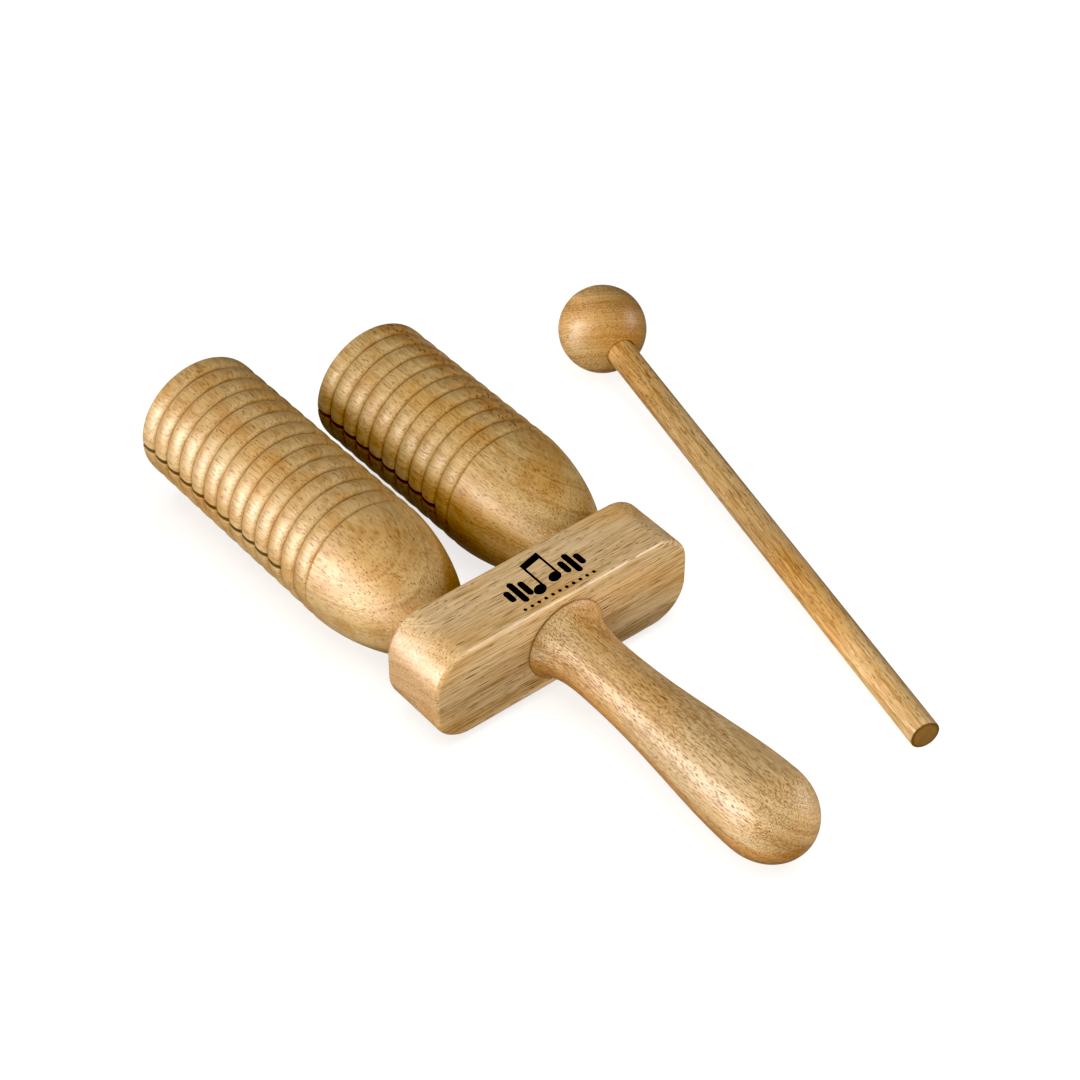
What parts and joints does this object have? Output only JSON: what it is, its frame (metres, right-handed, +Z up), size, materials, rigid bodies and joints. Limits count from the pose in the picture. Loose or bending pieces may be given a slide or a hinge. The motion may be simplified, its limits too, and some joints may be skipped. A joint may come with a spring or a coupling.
{
  "type": "wooden tone block with beater",
  "caption": "Hand-held wooden tone block: a long and a short ribbed hollow barrel side by side on a crossbar, with a turned handle and a loose ball-headed beater.",
  "frame": {"origin": "on the floor, under the middle of the box around the block and the beater lying beside it", "axes": "+X along the crossbar from the long barrel to the short one, +Y towards the barrels' open mouths, +Z up; the block rests on its barrels' shoulders and the end of its handle, so its own axis climbs 2.9 degrees towards the mouths"},
  "size_m": [0.1752, 0.2572, 0.0484],
  "materials": {
    "large_barrel_wood": "satin lacquer, honey-tan grain along the barrel",
    "small_barrel_wood": "satin lacquer, slightly browner grain along the barrel",
    "crossbar_wood": "satin lacquer, pale grain along the crossbar",
    "handle_wood": "satin lacquer, grain along the handle with short dark pores",
    "dowel_wood": "raw, glued in",
    "beater_head_wood": "satin lacquer, faint banded grain",
    "beater_shaft_wood": "satin lacquer, straight grain"
  },
  "bodies": {
    "block": {"large_barrel": "large_barrel_wood", "small_barrel": "small_barrel_wood", "crossbar": "crossbar_wood", "handle": "handle_wood", "large_barrel_dowel": "dowel_wood", "small_barrel_dowel": "dowel_wood", "handle_dowel": "dowel_wood"},
    "beater": {"beater_head": "beater_head_wood", "beater_shaft": "beater_shaft_wood"}
  },
  "joints": [
    {"name": "beater_lift", "type": "slide", "parent": "block", "child": "beater", "axis": [0, 0, 1], "range_m": [0, 0.12]}
  ]
}
